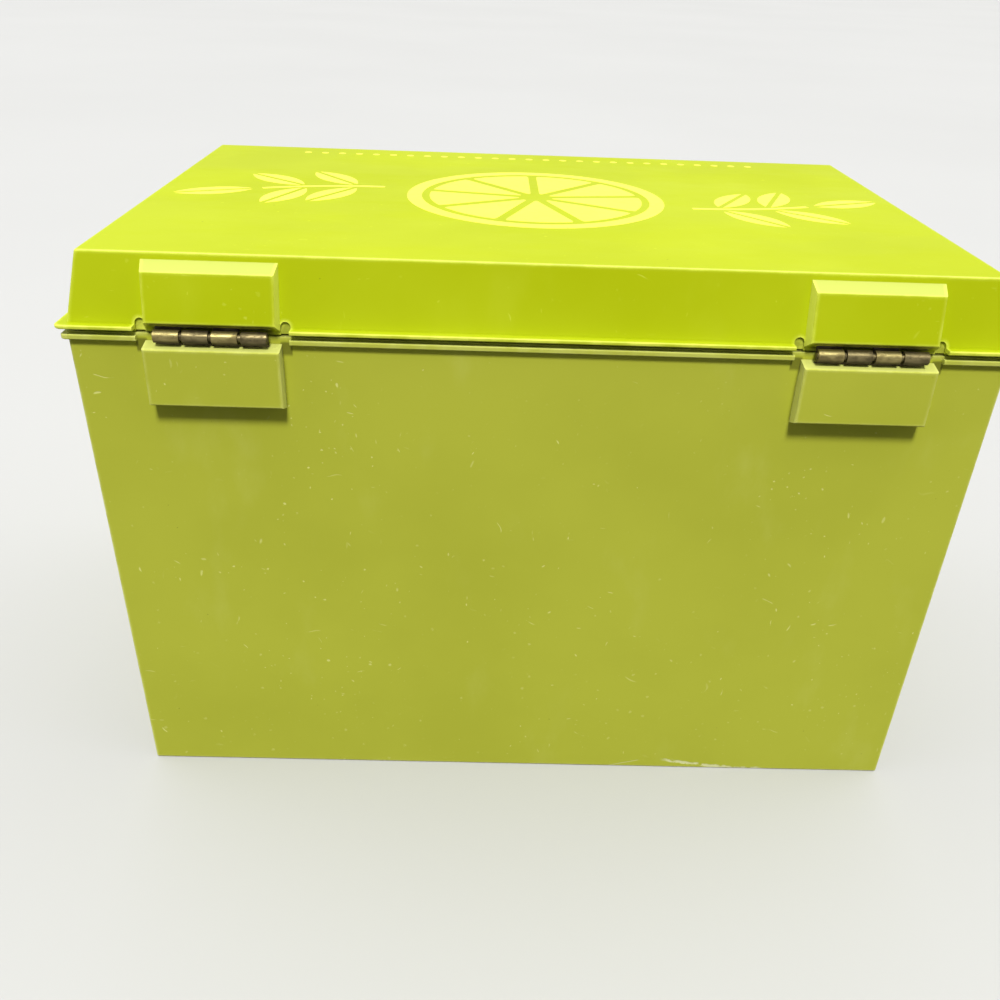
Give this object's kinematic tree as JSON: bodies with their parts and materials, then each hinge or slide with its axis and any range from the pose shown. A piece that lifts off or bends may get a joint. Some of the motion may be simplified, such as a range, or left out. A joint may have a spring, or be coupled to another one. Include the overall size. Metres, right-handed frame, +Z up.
{
  "type": "recipe box",
  "caption": "Moulded plastic box for index cards, with a shallow sloped lid that swings on small rolled brass hinges set in moulded bosses.",
  "frame": {"origin": "middle of the foot rim, on the plane the box stands on", "axes": "+Z up, X along the hinge axis, the hinge side faces -Y"},
  "size_m": [0.14, 0.0958, 0.0938],
  "materials": {
    "base_plastic": "satin olive, scuffed",
    "lid_plastic": "satin lime, lightly worn",
    "hinge_brass": "aged brown patina"
  },
  "bodies": {
    "base": {"base_shell": "base_plastic", "left_hinge_base_leaf": "hinge_brass", "left_hinge_pin": "hinge_brass", "right_hinge_base_leaf": "hinge_brass", "right_hinge_pin": "hinge_brass"},
    "lid": {"lid_shell": "lid_plastic", "left_hinge_lid_leaf": "hinge_brass", "right_hinge_lid_leaf": "hinge_brass"}
  },
  "joints": [
    {"name": "lid_hinge", "type": "hinge", "parent": "base", "child": "lid", "pos_m": [0, -0.0474, 0.08265], "axis": [1, 0, 0], "range_deg": [0, 135]}
  ]
}
